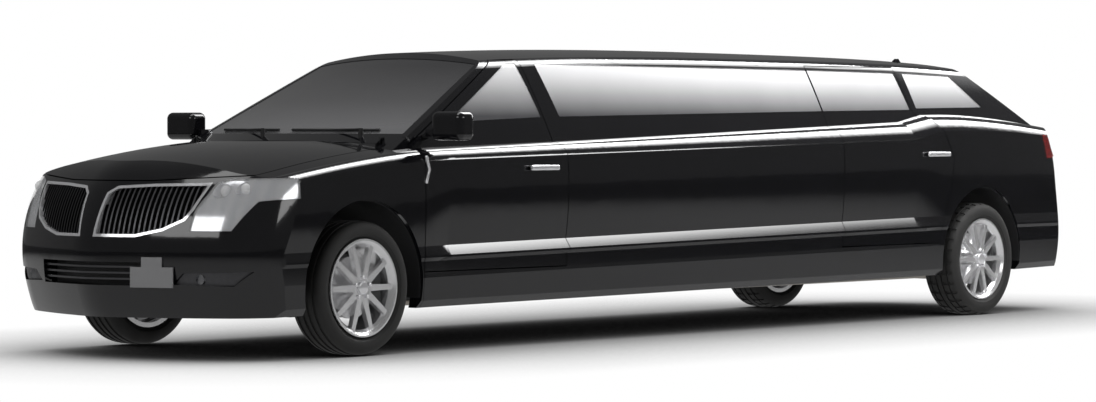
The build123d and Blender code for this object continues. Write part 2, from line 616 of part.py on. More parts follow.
def liners():
    """Plastic arch liners, open where the suspension passes."""
    out = []
    for axle, inner in ((FRONT_AXLE_Y, 480.0), (REAR_AXLE_Y, 560.0)):
        r = ARCH_R - RUN_GAP
        ring = pipe_x(axle, ARCH_Z, r, inner, 925) - pipe_x(axle, ARCH_Z, r - 5, inner + 5, 930)
        front = axle < 0
        ring = ring - block(0, 1000, axle - 600, axle + 600, -200, 300 if front else 345)
        ring = ring - block(inner - 5, inner + 20, axle - 135, axle + 165, 0, 860 if front else 480)
        if front:
            ring = ring - block(inner + 4, 645, axle - 115, axle + 115, 800, 900)
        out += both(ring)
    return out


def suspension(nodes):
    """Fixed suspension: front cross-member, arms, dampers and rack; rear subframe, links and dampers."""
    y0 = FRONT_AXLE_Y
    parts = [block(-RAIL_OUT, RAIL_OUT, y0 - 90, y0 + 90, 200, 262)]
    parts += both(block(RAIL_IN, RAIL_OUT, y0 - 60, y0 + 60, 250, 439.7))
    for s in (1, -1):
        for z, r, x in ((ARM_Z_LOW, 15, 450), (ARM_Z_HIGH + 8, 12, 465)):
            for side in (-110, 110):
                parts.append(rod((s * x, y0 + side, z), (s * KINGPIN_X, y0, z), r))
            parts.append(rod((s * 450, y0 - 130, z), (s * 450, y0 + 130, z), r + 4.5 if z < 400 else 16))
        parts.append(rod((s * KINGPIN_X, y0, ARM_Z_LOW - 16), (s * KINGPIN_X, y0, BALL_LOW), 28))
        parts.append(rod((s * KINGPIN_X, y0, BALL_HIGH), (s * KINGPIN_X, y0, ARM_Z_HIGH + 20), 24))
        parts.append(rod((s * 560, y0, ARM_Z_LOW), (s * 548, y0, 500), 20))
        parts.append(rod((s * 548, y0, 420), (s * 548, y0, 857.7), 34))
        parts.append(rod((s * 560, y0 - 78, ARM_Z_LOW), (s * 560, y0 + 78, ARM_Z_LOW), 14))
    parts.append(rod((-360, y0 + 140, RACK_Z), (360, y0 + 140, RACK_Z), 22))
    parts.append(rod((-540, y0 + 140, RACK_Z), (540, y0 + 140, RACK_Z), 11))
    parts.append(block(-RAIL_OUT + 90, RAIL_OUT - 90, y0 + 80, y0 + 160, 240, RACK_Z - 10))
    nodes["front_suspension"] = fused(parts)

    y1 = REAR_AXLE_Y
    seat = REAR_FLOOR_Z - RAIL_H - RUN_GAP
    rear = [block(-420, 420, y1 - 150, y1 + 150, 300, 330), block(-420, 420, y1 - 150, y1 - 110, 285, seat),
            block(-420, 420, y1 + 110, y1 + 150, 285, seat), block(-120, 120, y1 - 120, y1 + 120, 285, 440),
            block(-60, 60, y1 - DIFF_NOSE, y1 - 100, 235, 350), rod((-700, y1, WHEEL_Z), (700, y1, WHEEL_Z), 17)]
    for s in (1, -1):
        carrier = pipe_x(y1, WHEEL_Z, 58, 690, HUB_FACE_X - 26 - RUN_GAP)
        bracket = block(760, 806, y1 + 40, y1 + 130, WHEEL_Z - 30, WHEEL_Z + 30)
        caliper = caliper_form(y1)
        rear += [q if s > 0 else mirrored(q) for q in (carrier, bracket, caliper)]
        rear.append(rod((s * 690, y1, WHEEL_Z), (s * 650, y1 - 50, 330), 20))
        for side in (-130, 130):
            rear.append(rod((s * 400, y1 + side, 305), (s * 740, y1 + side / 4, 335), 14))
            rear.append(rod((s * 437, y1 + side, 380), (s * 437, y1 + side, seat), 30))
            rear.append(block(min(s * 405, s * 450), max(s * 405, s * 450), y1 + side - 20, y1 + side + 20, 360, 395))
        rear.append(rod((s * 600, y1 + 71, 322), (s * 525, y1 + 90, 460), 15))
        rear.append(rod((s * 525, y1 + 90, 450), (s * 525, y1 + 90, REAR_FLOOR_Z - RUN_GAP), 28))
    nodes["rear_suspension"] = fused(rear)
    nodes["drive_shaft"] = drive_shaft()


def drive_shaft():
    """Three-part shaft hung from two cross-members by its centre bearings."""
    z = SHAFT_Z
    y0, y1 = GEARBOX_END_Y + RUN_GAP, REAR_AXLE_Y - DIFF_NOSE - RUN_GAP
    ends = ((y0 + 12, z + 50), (-2300, z), (2200, z), (y1 - 12, z + 50))
    parts = [rod((0, ya, za), (0, yb, zb), SHAFT_R) for (ya, za), (yb, zb) in zip(ends, ends[1:])]
    parts += [rod((0, y0, z + 50), (0, y0 + 24, z + 50), 38), rod((0, y1 - 24, z + 50), (0, y1, z + 50), 38)]
    for y in CROSS_Y[1:-1]:
        parts.append(block(-45, 45, y + 25, y + 65, z - 34, FLOOR_TOP - FLOOR_T - 50 - RUN_GAP))
    return fused(parts)


def caliper_form(axle_y):
    """Brake caliper that straddles the rear edge of the disc."""
    body = block(800, 868, axle_y + 118, axle_y + 205, WHEEL_Z - 80, WHEEL_Z + 80)
    return body - pipe_x(axle_y, WHEEL_Z, DISC_R + 8, 812, 852)


def knuckle_form():
    y0 = FRONT_AXLE_Y
    hub = pipe_x(y0, WHEEL_Z, 58, 700, HUB_FACE_X - 26 - RUN_GAP)
    z0, z1 = BALL_LOW + RUN_GAP, BALL_HIGH - RUN_GAP
    post = Solid.make_cylinder(26, z1 - z0).moved(Pos(KINGPIN_X, y0, z0))
    arm = block(735, 765, y0, y0 + 140, RACK_Z - 11, RACK_Z + 11)
    bracket = block(760, 806, y0 + 40, y0 + 130, WHEEL_Z - 30, WHEEL_Z + 30)
    return fused([hub, post, arm, bracket, caliper_form(y0)])


# half width, radius along the rim's outer outline, seen from the middle of the tyre
RIM_PROFILE = [(-110, 266), (-101, 266), (-97, 250), (-64, 250), (-40, 238), (62, 238), (84, 250), (96, 250), (100, 266), (110, 266),
               (110, 256), (98, 242), (78, 226), (-40, 226), (-66, 240), (-110, 240)]
TYRE_PROFILE = [(-95.5, 250.3), (-95.5, 267), (-112, 276), (-125, 312), (-113, 350), (-96, 365), (-60, TYRE_R), (60, TYRE_R), (96, 365), (113, 350),
                (125, 312), (112, 276), (95.5, 267), (95.5, 250.3)]
SPOKES = 10


def revolved_x(profile, axle_y):
    face = Face(Wire.make_polygon([Vector(WHEEL_X + x, axle_y, WHEEL_Z + r) for x, r in profile], close=True))
    return Solid.revolve(face, 360, Axis((0, axle_y, WHEEL_Z), (1, 0, 0)))


def wheel_form(axle_y):
    barrel = revolved_x(RIM_PROFILE, axle_y)
    hub = pipe_x(axle_y, WHEEL_Z, 76, HUB_FACE_X, WHEEL_X + 92)
    cap = pipe_x(axle_y, WHEEL_Z, 34, WHEEL_X + 90, WHEEL_X + 98)
    disc = ring_x(axle_y, WHEEL_Z, DISC_R, 60, HUB_FACE_X - 26, HUB_FACE_X - 2) + pipe_x(axle_y, WHEEL_Z, 92, HUB_FACE_X - 26, HUB_FACE_X + 1)
    outline = [(-19, 60), (-14, 234), (14, 234), (19, 60)]
    face = Face(Wire.make_polygon([Vector(WHEEL_X + 66, axle_y + a, WHEEL_Z + r) for a, r in outline], close=True))
    spoke = Solid.extrude(face, Vector(30, 0, 0))
    axis = Axis((0, axle_y, WHEEL_Z), (1, 0, 0))
    spokes = [spoke.rotate(axis, 360 / SPOKES * (i + 0.5)) for i in range(SPOKES)]
    return fused([barrel, hub, cap, disc] + spokes)


def wheels(nodes):
    for name, y in (("front", FRONT_AXLE_Y), ("rear", REAR_AXLE_Y)):
        wheel = wheel_form(y)
        tyre = revolved_x(TYRE_PROFILE, y)
        nodes[f"wheel_{name}_left"] = wheel
        nodes[f"wheel_{name}_right"] = mirrored(wheel)
        nodes[f"tyre_{name}_left"] = tyre
        nodes[f"tyre_{name}_right"] = mirrored(tyre)
    knuckle = knuckle_form()
    nodes["knuckle_left"] = knuckle
    nodes["knuckle_right"] = mirrored(knuckle)


# ---- cabin fittings ----
DRIVER_X = 400.0


def cabin_fittings(nodes):
    dash = [(FIREWALL_Y + 0.3, 640), (-2230, 640), (-2090, 830), (-2080, 960), (-2200, 1040), (FIREWALL_Y + 0.3, 1065)]
    nodes["dashboard"] = prism_side(dash, -838, 838) + block(-130, 130, -2400, -2230, 500, 641) + block(-110, 110, -2399, -1480, FLOOR_TOP + 0.3, 600)
    wheel = Solid.make_torus(178, 15).moved(Location((DRIVER_X, -1960, 930), (-65, 0, 0)))
    column = rod((DRIVER_X, -1960, 930), (DRIVER_X, -2099, 865.5), 30)
    arms = rod((DRIVER_X - 175, -1960, 930), (DRIVER_X + 175, -1960, 930), 12)
    nodes["steering_wheel"] = (wheel + arms + rod((DRIVER_X, -1955, 932), (DRIVER_X, -2105, 864), 34)) - nodes["dashboard"]
    seats = []
    for x in (DRIVER_X, -DRIVER_X):
        base = block(x - 210, x + 210, -2010, -1620, FLOOR_TOP + 0.3, 560)
        cushion = block(x - 260, x + 260, -2060, -1560, 560, 690)
        back = prism_side([(-1640, 640), (-1530, 640), (-1440, 1230), (-1540, 1230)], x - 250, x + 250)
        head = prism_side([(-1530, 1229), (-1450, 1229), (-1435, 1400), (-1515, 1400)], x - 120, x + 120)
        seats.append(fused([base, cushion, back, head]))
    nodes["front_seats"] = Part() + seats
    half = [(838, FLOOR_TOP + 0.3), (838, 1050), (640, 1480)]
    wall = prism_front(half + [(-x, z) for x, z in reversed(half)], -1392, -1362)
    nodes["partition"] = wall - block(-560, 560, -1400, -1350, 1060, 1400)
    bench = block(-838, -300, -1150, 1240, FLOOR_TOP + 0.3, 740) + block(-838, -720, -1150, 1240, 739, 1040)
    rear_base = block(-838, 838, 1700, 2330, FLOOR_TOP + 0.3, 760) + prism_side([(2200, 759), (2330, 759), (2400, 1250), (2300, 1250)], -700, 700)
    nodes["lounge_seats"] = (bench + rear_base + block(-838, -300, 1239, 1701, FLOOR_TOP + 0.3, 740))
    nodes["bar_console"] = block(520, 838, -1150, 900, FLOOR_TOP + 0.3, 860) - block(519, 790, -1050, 800, 640, 800)


def fittings(nodes):
    arm = block(845, 950, -2520, -2470, 1185, 1225)
    shell = fillet(Solid.make_box(225, 130, 158).moved(Pos(920, -2570, 1165)).edges(), 36)
    mirror_body = (shell + arm) - nodes["door_front_left"] - nodes["door_glass_front_left"]
    keep = max(mirror_body.solids(), key=lambda q: q.volume)
    nodes["mirror_left"] = keep
    nodes["mirror_right"] = mirrored(keep)
    for name, y, z in (("front", -1640, 1008), ("rear", 2360, 1064)):
        bar = block(966, 982, y - 120, y + 120, z - 14, z + 14)
        bar = fillet(bar.edges().filter_by(Axis.Y), 6)
        posts = block(930, 968, y - 112, y - 84, z - 11, z + 11) + block(930, 968, y + 84, y + 112, z - 11, z + 11)
        door = nodes[f"door_{name}_left"] + posts + bar
        nodes[f"door_{name}_left"] = door
        nodes[f"door_{name}_right"] = mirrored(door)
    nodes["front_plate"] = number_plate()
    nodes["wipers"] = Part() + [wiper(nodes["cowl"], *row) for row in WIPERS]
    pipes = []
    for s in (1, -1):
        x = s * PIPE_X
        pipes.append(rod((x, ENGINE_END_Y + RUN_GAP, 400), (x, ENGINE_END_Y + 30, 400), 34))
        pipes.append(rod((x, ENGINE_END_Y + 25, 400), (x, -2700, PIPE_Z), PIPE_R - 2))
        pipes.append(rod((x, -2712, PIPE_Z), (x, 4050, PIPE_Z), PIPE_R))
        pipes.append(rod((x, -600, PIPE_Z), (x, -100, PIPE_Z), 32))
        for y in CROSS_Y[1:-1]:
            pipes.append(block(x - 12, x + 12, y + 35, y + 55, PIPE_Z, FLOOR_TOP - FLOOR_T - 50 - RUN_GAP))
    pipes.append(block(-PIPE_X - 60, PIPE_X + 60, 3280, 3640, PIPE_Z - 36, PIPE_Z + 36))
    nodes["exhaust"] = fused(pipes)


# blade ends, pivot x, x where the arm meets the blade
WIPERS = [(620, 60, 560, 340), (-40, -560, -100, -320)]
PIPE_X = 300.0
PLATE_X = 402.0
PLATE_Y = -4189.8           # skin of the bumper behind the plate's upper edge
PLATE_TURN = 19.0           # the plate follows the flank of the bumper


def number_plate():
    """Blank plate with the tab that bears on the bumper."""
    plate = block(-125, 125, -9, -1, 392, 500) + block(-60, 60, -9, -1, 499, 552)
    return plate.rotate(Axis.Z, PLATE_TURN).moved(Pos(PLATE_X, PLATE_Y, 0))


def wiper(cowl, x0, x1, pivot_x, grip_x):
    """Blade laid along the foot of the windshield, with its arm and the pivot on the cowl."""
    count = 5
    xs = [x0 + (x1 - x0) * i / count for i in range(count + 1)]
    on = lambda x: (x, screen_y(x), screen_z(x, screen_y(x)) + BLADE_LIFT)
    parts = [rod(on(a), on(b), 7) for a, b in zip(xs, xs[1:])]
    foot_y = screen_y(pivot_x) - 72
    post = Solid.make_cylinder(13, 90).moved(Pos(pivot_x, foot_y, 1142)) - cowl
    parts.append(max(post.solids(), key=lambda q: q.center().Z))
    parts.append(rod((pivot_x, foot_y, 1226), on(grip_x), 6))
    return fused(parts)


BLADE_LIFT = 6.0


def screen_y(x):
    """Station of the wiper sweep's base on the windshield."""
    r = (780 ** 2 + 190 ** 2) / (2 * 190)
    return -2830 + r - math.sqrt(r * r - x * x) + 70


def screen_z(x, y):
    r = (780 ** 2 + 190 ** 2) / (2 * 190)
    return 1185 + (y + 2830 - r + math.sqrt(r * r - x * x)) * math.tan(math.radians(24.5))


# ---- hinges of the hood and the liftgate ----
PIN_R = 4.0
HOOD_PIN = (720.0, -2742.0, 1172.0)
HOOD_CHEEK = [(-2750, 1125), (-2730, 1135), (-2732, 1180), (-2750, 1180)]
HOOD_LUG = [(-2790, 1118), (-2759, 1130), (-2758, 1158), (-2734, 1163), (-2734, 1179), (-2746, 1180), (-2790, 1148)]
GATE_PIN = (200.0, 2997.0, 1692.0)
GATE_CHEEK = [(2960, 1655), (2991, 1655), (2992, 1683), (3004, 1684), (3004, 1699), (2989, 1700), (2960, 1684)]
GATE_LUG = [(3004, 1650), (3042, 1650), (3042, 1672), (3012, 1698), (2991, 1699), (2990, 1685), (3003, 1683)]


def hinge_knuckle(pin, cheek, lug):
    """Left and right hinges: two cheeks with an eye, and the lug whose pin turns in them."""
    x, y, z = pin
    eye = pipe_x(y, z, PIN_R + RUN_GAP, x - 20, x + 20)
    cheeks = [prism_side(cheek, x + a, x + b) - eye for a, b in ((-12, -7), (7, 12))]
    arm = prism_side(lug, x - 5, x + 5) + pipe_x(y, z, PIN_R, x - 11.5, x + 11.5)
    return cheeks + [mirrored(c) for c in cheeks], [arm, mirrored(arm)]


def hinges(nodes):
    for fixed, lid, rows in (("cowl", "hood", (HOOD_PIN, HOOD_CHEEK, HOOD_LUG)),
                             ("roof", "liftgate", (GATE_PIN, GATE_CHEEK, GATE_LUG))):
        cheeks, arms = hinge_knuckle(*rows)
        nodes[fixed] = fused([nodes[fixed]] + cheeks)
        nodes[lid] = fused([nodes[lid]] + arms)


def build():
    nodes = {}
    solid = front_panels(nodes)
    front_lamps(nodes, solid)
    grille(nodes)
    cabin_panels(nodes)
    underbody(nodes)
    suspension(nodes)
    wheels(nodes)
    cabin_fittings(nodes)
    fittings(nodes)
    hinges(nodes)
    return nodes


def heal(path):
    """Mends faces of the lofted ends whose edges, once written and read back, lie off their surface."""
    solids = import_step(path).solids()
    if not all(solid.is_valid for solid in solids):
        export_step(Compound([solid.fix() for solid in solids]), path)


if __name__ == "__main__":
    os.makedirs("parts", exist_ok=True)
    for name, shape in build().items():
        export_step(shape.moved(Pos(0, FRAME_SHIFT, 0)), f"parts/{name}.step")
        if name in LOFTED_GROUPS:
            heal(f"parts/{name}.step")
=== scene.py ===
"""Looks for the stretch limousine: finishes for its solids, and the pieces that the solids leave out."""
import math

import bpy
from bpy.props import FloatProperty, FloatVectorProperty, IntProperty, PointerProperty
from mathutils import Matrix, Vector


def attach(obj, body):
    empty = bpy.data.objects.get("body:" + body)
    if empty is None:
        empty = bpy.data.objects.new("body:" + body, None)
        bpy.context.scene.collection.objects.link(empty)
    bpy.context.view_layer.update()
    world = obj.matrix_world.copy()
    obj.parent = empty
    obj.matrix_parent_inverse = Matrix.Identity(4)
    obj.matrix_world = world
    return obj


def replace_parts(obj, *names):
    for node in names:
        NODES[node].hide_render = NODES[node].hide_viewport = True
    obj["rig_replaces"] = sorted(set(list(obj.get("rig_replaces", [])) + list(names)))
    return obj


bl_info = {
    "name": "Stretch limousine",
    "version": (1, 0, 0),
    "blender": (4, 5, 0),
    "location": "View3D > Sidebar > Limousine",
    "description": "Dresses the solids of a stretch limousine",
    "category": "Object",
}

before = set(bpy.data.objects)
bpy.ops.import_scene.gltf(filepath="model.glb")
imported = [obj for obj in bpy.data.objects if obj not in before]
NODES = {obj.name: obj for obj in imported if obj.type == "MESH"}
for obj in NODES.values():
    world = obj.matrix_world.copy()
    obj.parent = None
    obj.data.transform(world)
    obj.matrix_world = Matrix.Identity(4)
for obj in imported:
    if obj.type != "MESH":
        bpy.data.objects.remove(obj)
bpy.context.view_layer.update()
AXLES = (("front", -3.055), ("rear", 2.988))
WHEEL_X, WHEEL_Z = 0.826, 0.370
SIDES = (("left", 1), ("right", -1))
QUARTER_TURN = math.pi / 2


# ---- finishes ----
class Value:
    """A shader socket that takes part in sums and products."""

    def __init__(self, finish, socket):
        self.finish, self.socket = finish, socket

    def _math(self, operation, a, b):
        return self.finish.node("ShaderNodeMath", {"operation": operation}, {0: a, 1: b})

    def __add__(self, other):
        return self._math("ADD", self, other)

    def __sub__(self, other):
        return self._math("SUBTRACT", self, other)

    def __mul__(self, other):
        return self._math("MULTIPLY", self, other)

    def __truediv__(self, other):
        return self._math("DIVIDE", self, other)

    def __rsub__(self, other):
        return self._math("SUBTRACT", other, self)

    __radd__, __rmul__ = __add__, __mul__

    def clamped(self):
        settings = {"operation": "ADD", "use_clamp": True}
        return self.finish.node("ShaderNodeMath", settings, {0: self, 1: 0.0})


class Finish:
    """One material, written as values that feed its shader."""

    def __init__(self, name):
        self.material = bpy.data.materials.new(name)
        self.material.use_nodes = True
        self.tree = self.material.node_tree
        self.shader = self.tree.nodes["Principled BSDF"]
        self.place = self.node("ShaderNodeTexCoord", {}, {}, "Object")

    def node(self, kind, settings, inputs, output=0):
        made = self.tree.nodes.new(kind)
        for key, value in settings.items():
            if key == "stops":
                ramp = made.color_ramp
                while len(ramp.elements) < len(value):
                    ramp.elements.new(0.5)
                for element, (position, colour) in zip(ramp.elements, value):
                    element.position, element.color = position, colour
            else:
                setattr(made, key, value)
        for key, value in inputs.items():
            if isinstance(value, Value):
                self.tree.links.new(value.socket, made.inputs[key])
            else:
                made.inputs[key].default_value = value
        return Value(self, made.outputs[output])

    def noise(self, scale, detail=3.0, roughness=0.5, at=None):
        inputs = {"Vector": at or self.place, "Scale": scale, "Detail": detail, "Roughness": roughness}
        return self.node("ShaderNodeTexNoise", {}, inputs, "Fac")

    def cells(self, scale):
        return self.node("ShaderNodeTexVoronoi", {}, {"Vector": self.place, "Scale": scale}, "Distance")

    def mix(self, amount, a, b):
        return self.node("ShaderNodeMix", {"data_type": "RGBA"}, {0: amount, 6: a, 7: b}, 2)

    def ramp(self, amount, stops):
        return self.node("ShaderNodeValToRGB", {"stops": stops}, {0: amount}, "Color")

    def part(self, axis):
        return self.node("ShaderNodeSeparateXYZ", {}, {0: self.place}, axis)

    def bump(self, height, strength, distance=0.002):
        inputs = {"Height": height, "Strength": strength, "Distance": distance}
        return self.node("ShaderNodeBump", {}, inputs, "Normal")

    def set(self, **inputs):
        for key, value in inputs.items():
            socket = self.shader.inputs[key.replace("_", " ")]
            if isinstance(value, Value):
                self.tree.links.new(value.socket, socket)
            else:
                socket.default_value = value
        return self.material


def rgb(r, g=None, b=None):
    """A colour with full cover; one number alone is a grey."""
    return (r, r if g is None else g, r if b is None else b, 1.0)


def lighter(colour, times, most=1.0):
    return rgb(*[min(most, c * times) for c in colour])


def paint(name, colour):
    """Deep gloss paint under a clear coat, with a faint wave and a trace of dust."""
    f = Finish(name)
    wave = f.noise(220.0, 2.0)
    dust = f.noise(9.0, 4.0)
    dusty = rgb(*[c * 1.8 + 0.002 for c in colour])
    return f.set(Base_Color=f.mix(dust * 0.35, rgb(*colour), dusty), Roughness=f.noise(3.0) * 0.05 + 0.07,
                 Specular_IOR_Level=0.4, Coat_Weight=0.55, Coat_Roughness=0.03,
                 Normal=f.bump(wave, 0.025, 0.0004))


def glass_with_painted_reflection(name, low, high, z0, z1, alpha):
    """Dark glass with a painted reflection: its colour runs from one tone at height z0 to the other at z1,
    in place of the studio's light reflected in it.
    """
    f = Finish(name)
    height = ((f.part("Z") - z0) / (z1 - z0)).clamped()
    haze = f.noise(2.5, 2.0) * 0.06
    middle = rgb(*[(a + b) / 2.4 for a, b in zip(low, high)])
    # painted reflection: the glass's colour is lighter or darker by height, standing in for reflected light
    shade = f.ramp(height + haze, [(0.0, rgb(*low)), (0.45, middle), (1.0, rgb(*high))])
    return f.set(Base_Color=shade, Roughness=f.noise(30.0) * 0.02 + 0.03, Alpha=alpha, Coat_Weight=1.0,
                 Coat_Roughness=0.02, Normal=f.bump(f.noise(12.0), 0.01, 0.0005))


def metal(name, colour, rough, grain, bump=0.02, metallic=1.0):
    f = Finish(name)
    spots = f.noise(grain, 4.0)
    return f.set(Base_Color=f.mix(spots * 0.5, rgb(*colour), lighter(colour, 0.8)), Metallic=metallic,
                 Roughness=spots * rough + rough * 0.55, Normal=f.bump(f.noise(grain * 6), bump, 0.0005))


def grained(name, colour, rough, scale, bump, spread=1.5):
    f = Finish(name)
    cells = f.cells(scale)
    blotch = f.noise(scale / 40.0, 4.0)
    return f.set(Base_Color=f.mix(blotch, rgb(*colour), lighter(colour, spread)),
                 Roughness=blotch * 0.15 + rough, Normal=f.bump(cells, bump, 0.0006))


def tyre_rubber(name):
    f = Finish(name)
    dust = f.noise(14.0, 5.0)
    fine = f.noise(420.0, 2.0)
    return f.set(Base_Color=f.mix(dust * 0.6, rgb(0.010), rgb(0.030, 0.029, 0.027)),
                 Roughness=dust * 0.2 + 0.62, Normal=f.bump(fine, 0.25, 0.0006))


def ribbed_lens(name, colour, alpha, pitch):
    f = Finish(name)
    bands = {"wave_type": "BANDS", "bands_direction": "X"}
    ribs = f.node("ShaderNodeTexWave", bands, {"Vector": f.place, "Scale": pitch}, "Fac")
    return f.set(Base_Color=f.mix(ribs, rgb(*colour), lighter(colour, 1.25)), Alpha=alpha,
                 Roughness=f.noise(20.0) * 0.03 + 0.03, Coat_Weight=1.0, Normal=f.bump(ribs, 0.15, 0.001))


def leather(name, colour):
    f = Finish(name)
    grain, broad = f.cells(380.0), f.noise(6.0, 4.0)
    crease = f.noise(70.0, 3.0)
    return f.set(Base_Color=f.mix(broad, rgb(*colour), lighter(colour, 1.7)),
                 Roughness=broad * 0.2 + 0.38, Normal=f.bump(grain + crease * 0.5, 0.35, 0.0008))


def carpet(name, colour):
    f = Finish(name)
    tuft, broad = f.noise(600.0, 2.0), f.noise(5.0, 3.0)
    return f.set(Base_Color=f.mix(tuft * broad, rgb(*colour), lighter(colour, 2.2)), Roughness=0.95,
                 Normal=f.bump(tuft, 0.8, 0.002))


def veneer(name):
    f = Finish(name)
    stretch = f.node("ShaderNodeMapping", {}, {"Vector": f.place, "Scale": (9.0, 0.7, 9.0)}, "Vector")
    grain = f.noise(6.0, 6.0, 0.65, stretch)
    return f.set(Base_Color=f.ramp(grain, [(0.3, rgb(0.030, 0.012, 0.006)), (0.7, rgb(0.11, 0.045, 0.02))]),
                 Roughness=grain * 0.1 + 0.12, Coat_Weight=0.8, Normal=f.bump(grain, 0.04, 0.0006))


GLASS_FOOT, GLASS_TOP = 1.30, 1.62      # heights between which the side glass's painted reflection runs from dark to light
# heights between which the windshield's painted reflection runs from lighter at the foot to dark at the top
SCREEN_FOOT, SCREEN_TOP = 1.24, 1.60

# finish: its maker, the material's name and what the maker takes
MAKERS = {
    "paint": (paint, "black_paint", (0.004, 0.004, 0.005)),
    # both glasses carry a painted reflection: the side glass light at the top and dark at the foot, the
    # windshield lighter at the foot
    "side_glass": (glass_with_painted_reflection, "privacy_glass", (0.05, 0.05, 0.055), (0.95, 0.95, 0.96),
                   GLASS_FOOT, GLASS_TOP, 0.985),
    "windshield": (glass_with_painted_reflection, "windshield_glass", (0.16, 0.16, 0.165), (0.025, 0.025, 0.027),
                   SCREEN_FOOT, SCREEN_TOP, 0.90),
    "lens": (ribbed_lens, "clear_lens", (0.85, 0.86, 0.88), 0.22, 6.0),
    "red_lens": (ribbed_lens, "red_lens", (0.16, 0.006, 0.006), 0.92, 14.0),
    "chrome": (metal, "bright_chrome", (0.90, 0.90, 0.92), 0.10, 30.0, 0.02, 0.6),
    "alloy": (metal, "polished_alloy", (0.92, 0.92, 0.93), 0.20, 60.0, 0.02, 0.75),
    "mesh": (metal, "dark_mesh", (0.10, 0.10, 0.105), 0.40, 50.0, 0.05),
    "reflector": (metal, "lamp_reflector", (0.80, 0.81, 0.84), 0.12, 25.0, 0.05),
    "tyre": (tyre_rubber, "tyre_rubber"),
    "plastic": (grained, "black_plastic", (0.012, 0.012, 0.013), 0.50, 700.0, 0.15),
    "trim": (grained, "soft_trim", (0.020, 0.020, 0.021), 0.60, 500.0, 0.3),
    "steel": (grained, "coated_steel", (0.030, 0.030, 0.031), 0.45, 90.0, 0.2, 2.0),
    "exhaust": (metal, "exhaust_steel", (0.40, 0.37, 0.33), 0.35, 20.0, 0.05),
    "leather": (leather, "black_leather", (0.014, 0.013, 0.013)),
    "carpet": (carpet, "black_carpet", (0.010, 0.010, 0.011)),
    "veneer": (veneer, "dark_veneer"),
    "mirror": (metal, "mirror_glass", (0.88, 0.89, 0.91), 0.02, 10.0, 0.0),
    "plate": (grained, "blank_plate", (0.22, 0.22, 0.225), 0.35, 160.0, 0.06, 1.15),
    "bulb": (ribbed_lens, "lamp_bulb", (0.93, 0.94, 0.96), 0.55, 3.0),
}
FINISHES = {}


def finish(key):
    """The material of a finish, made when it is first asked for."""
    if key not in FINISHES:
        maker, *values = MAKERS[key]
        FINISHES[key] = maker(*values)
    return FINISHES[key]


NODE_FINISH = {
    "windshield": "windshield", "liftgate_glass": "side_glass", "fixed_side_glass": "side_glass",
    "headlamp_lenses": "lens", "headlamps": "reflector", "tail_lamps": "red_lens", "gate_lamp": "red_lens",
    "grille": "chrome", "grille_mesh": "mesh", "intake_mesh": "mesh", "fog_lamps": "reflector",
    "wipers": "plastic", "wheelhouse_liners": "plastic", "floor_pan": "carpet", "frame_rails": "steel",
    "front_structure": "steel", "engine": "steel", "front_suspension": "steel", "rear_suspension": "steel",
    "drive_shaft": "steel", "exhaust": "exhaust", "dashboard": "trim", "steering_wheel": "trim",
    "front_seats": "leather", "lounge_seats": "leather", "partition": "trim", "bar_console": "veneer",
    "front_plate": "plate",
}


NAME_FINISH = (("wheel_", "alloy"), ("tyre_", "tyre"), ("door_glass", "side_glass"), ("knuckle", "steel"))


def finish_of(node):
    if node in NODE_FINISH:
        return NODE_FINISH[node]
    for start, key in NAME_FINISH:
        if node.startswith(start):
            return key
    return "paint"


# ---- shaping ----
def start_clear():
    if bpy.context.mode != "OBJECT":
        bpy.ops.object.mode_set(mode="OBJECT")
    bpy.ops.object.select_all(action="DESELECT")


def modify(piece, kind, **settings):
    modifier = piece.modifiers.new(kind.lower(), kind)
    for key, value in settings.items():
        setattr(modifier, key, value)
    bpy.context.view_layer.objects.active = piece
    bpy.ops.object.modifier_apply(modifier=modifier.name)


def settle(piece, name, body, key, angle=35):
    """Bakes the place into the mesh, smooths it, and hands the piece to its body."""
    bpy.ops.object.select_all(action="DESELECT")
    piece.select_set(True)
    bpy.context.view_layer.objects.active = piece
    if piece.type == "CURVE":
        bpy.ops.object.convert(target="MESH")
        piece = bpy.context.object
    bpy.ops.object.transform_apply(location=True, rotation=True, scale=True)
    bpy.ops.object.shade_smooth_by_angle(angle=math.radians(angle))
    piece.name = name
    piece.data.name = name
    piece.data.materials.clear()
    piece.data.materials.append(finish(key))
    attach(piece, body)
    piece.select_set(False)
    return piece


def copied(piece, name, body, flip=False, move=(0, 0, 0)):
    """A copy with its own mesh, moved or mirrored across the car."""
    bpy.ops.object.select_all(action="DESELECT")
    copy = piece.copy()
    copy.data = piece.data.copy()
    bpy.context.collection.objects.link(copy)
    copy.parent = None
    copy.name = name
    copy.data.name = name
    copy.select_set(True)
    bpy.context.view_layer.objects.active = copy
    copy.location = Vector(move)
    if flip:
        copy.scale = (-1, 1, 1)
    bpy.ops.object.transform_apply(location=True, rotation=True, scale=True)
    bpy.ops.object.mode_set(mode="EDIT")
    bpy.ops.mesh.select_all(action="SELECT")
    bpy.ops.mesh.remove_doubles(threshold=1e-6)
    bpy.ops.mesh.normals_make_consistent(inside=False)
    bpy.ops.object.mode_set(mode="OBJECT")
    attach(copy, body)
    copy.select_set(False)
    return copy


def joined(pieces):
    """One object from several."""
    bpy.ops.object.select_all(action="DESELECT")
    for piece in pieces:
        piece.select_set(True)
    bpy.context.view_layer.objects.active = pieces[0]
    bpy.ops.object.join()
    return bpy.context.object


def rounded_bar(centre, size, radius, segments=3):
    start_clear()
    bpy.ops.mesh.primitive_cube_add(size=1.0, location=centre)
    piece = bpy.context.object
    piece.scale = size
    bpy.ops.object.transform_apply(location=False, rotation=False, scale=True)
    modify(piece, "BEVEL", width=radius, segments=segments, limit_method="NONE")
    return piece


